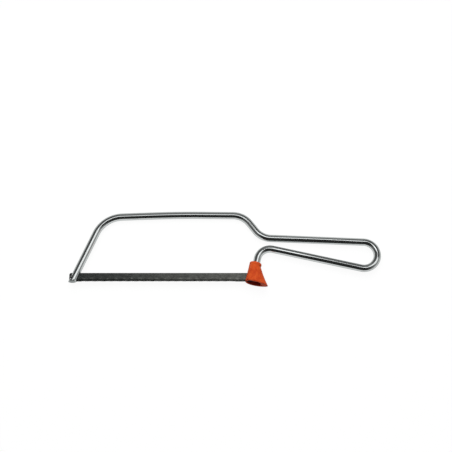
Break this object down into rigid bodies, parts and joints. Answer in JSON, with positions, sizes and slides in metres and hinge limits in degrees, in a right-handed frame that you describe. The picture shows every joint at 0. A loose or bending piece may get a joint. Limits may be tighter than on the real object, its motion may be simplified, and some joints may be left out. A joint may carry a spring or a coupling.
{
  "type": "junior hacksaw",
  "caption": "Small hacksaw with a sprung frame and loop handle bent from one plated rod, a thin pin-ended blade and a flared plastic sleeve over the rear blade anchor.",
  "frame": {"origin": "middle of the saw's outline in plan, on the plane that its sleeve touches when it lies on its side", "axes": "+X along the blade towards the handle, +Y from the teeth towards the rail, +Z across the saw"},
  "size_m": [0.248, 0.0624, 0.0136],
  "materials": {
    "plated_steel": "bright plated",
    "blade_steel": "dark grey, dull",
    "pin_steel": "bare",
    "orange_plastic": "moulded, satin"
  },
  "bodies": {
    "frame": {"frame_rod": "plated_steel"},
    "blade_set": {"blade": "blade_steel", "front_pin": "pin_steel", "rear_pin": "pin_steel"},
    "sleeve": {"sleeve": "orange_plastic"}
  },
  "joints": [
    {"name": "blade_swing", "type": "hinge", "parent": "frame", "child": "blade_set", "pos_m": [-0.1217, -0.02393, 0.00679], "axis": [0, 0, -1], "range_deg": [0, 90]},
    {"name": "sleeve_slide", "type": "slide", "parent": "frame", "child": "sleeve", "axis": [0.2079, 0.9781, 0], "range_m": [0, 0.005]}
  ]
}
